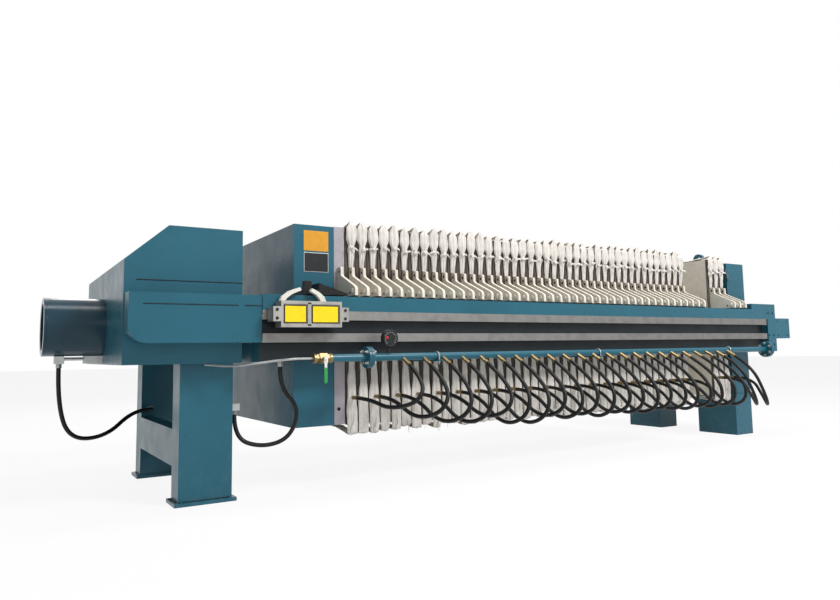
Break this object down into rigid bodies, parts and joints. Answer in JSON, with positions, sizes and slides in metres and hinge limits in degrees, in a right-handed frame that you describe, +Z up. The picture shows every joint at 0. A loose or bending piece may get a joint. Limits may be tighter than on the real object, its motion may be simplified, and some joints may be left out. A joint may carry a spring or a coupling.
{
  "type": "plate filter press",
  "caption": "Hydraulic plate filter press: hanging plates and cloths on side beams between a head and a follower, with shifter and squeeze hoses.",
  "frame": {"origin": "on the floor under the middle of the machine", "axes": "+X along the machine from the cylinder to the head, +Z up, the squeeze manifold on the -Y side"},
  "size_m": [4.969, 1.8592, 1.402],
  "materials": {
    "teal_paint": "semi-gloss enamel",
    "white_plate": "moulded polypropylene",
    "dark_paint": "gloss enamel",
    "grey_plate": "moulded polypropylene",
    "black_rubber": "satin",
    "galvanised": "zinc plated",
    "filter_cloth": "woven polypropylene cloth",
    "brass": "machined",
    "machined_steel": "ground",
    "gauge_black": "gloss",
    "cast_grey": "die-cast",
    "cream_paint": "enamel",
    "rail_steel": "rolled and drawn",
    "green_sleeve": "dipped vinyl sleeve"
  },
  "bodies": {
    "frame": {"beam_cheek_far": "teal_paint", "beam_cheek_near": "teal_paint", "beam_end_block_far": "teal_paint", "beam_end_block_near": "teal_paint", "bracket_front_plate": "teal_paint", "bracket_rear_plate": "teal_paint", "bracket_side_far": "teal_paint", "bracket_side_near": "teal_paint", "bracket_top_cover": "teal_paint", "chamber_plates": "white_plate", "cylinder_barrel": "dark_paint", "drive_boxes": "teal_paint", "end_plate": "grey_plate", "head_legs": "teal_paint", "head_plate": "teal_paint", "hydraulic_fittings": "galvanised", "hydraulic_hoses": "black_rubber", "leg_cross_member": "teal_paint", "lifting_lugs": "teal_paint", "lower_cloths": "filter_cloth", "manifold_brackets": "teal_paint", "manifold_pipe": "teal_paint", "manifold_taps": "brass", "membrane_plates": "white_plate", "plate_handles": "white_plate", "plate_ports": "brass", "pressure_gauge": "gauge_black", "rear_feet": "teal_paint", "rear_legs": "teal_paint", "shifter_rails": "rail_steel", "side_beam_far": "teal_paint", "side_beam_near": "teal_paint", "squeeze_hoses": "black_rubber", "supply_tube": "galvanised", "upper_cloths": "filter_cloth", "valve_body": "brass"},
    "follower": {"follower_plate": "teal_paint", "piston_rod": "machined_steel", "follower_foot_near": "black_rubber", "follower_foot_far": "black_rubber"},
    "shifter_near": {"shifter_carriage_near": "cast_grey", "shifter_pawls_near": "cream_paint"},
    "shifter_far": {"shifter_carriage_far": "cast_grey", "shifter_pawls_far": "cream_paint"},
    "lever": {"valve_lever": "green_sleeve"}
  },
  "joints": [
    {"name": "follower_slide", "type": "slide", "parent": "frame", "child": "follower", "axis": [1, 0, 0], "range_m": [-0.23, 0]},
    {"name": "shifter_near_slide", "type": "slide", "parent": "frame", "child": "shifter_near", "axis": [1, 0, 0], "range_m": [0, 3.4]},
    {"name": "shifter_far_slide", "type": "slide", "parent": "frame", "child": "shifter_far", "axis": [1, 0, 0], "range_m": [0, 3.4]},
    {"name": "valve_lever_turn", "type": "hinge", "parent": "frame", "child": "lever", "pos_m": [-1.411, -0.785, 0.633], "axis": [0, -1, 0], "range_deg": [0, 90]}
  ],
  "couplings": [
    {"joint": "shifter_far_slide", "follows": "shifter_near_slide", "ratio": 1}
  ]
}
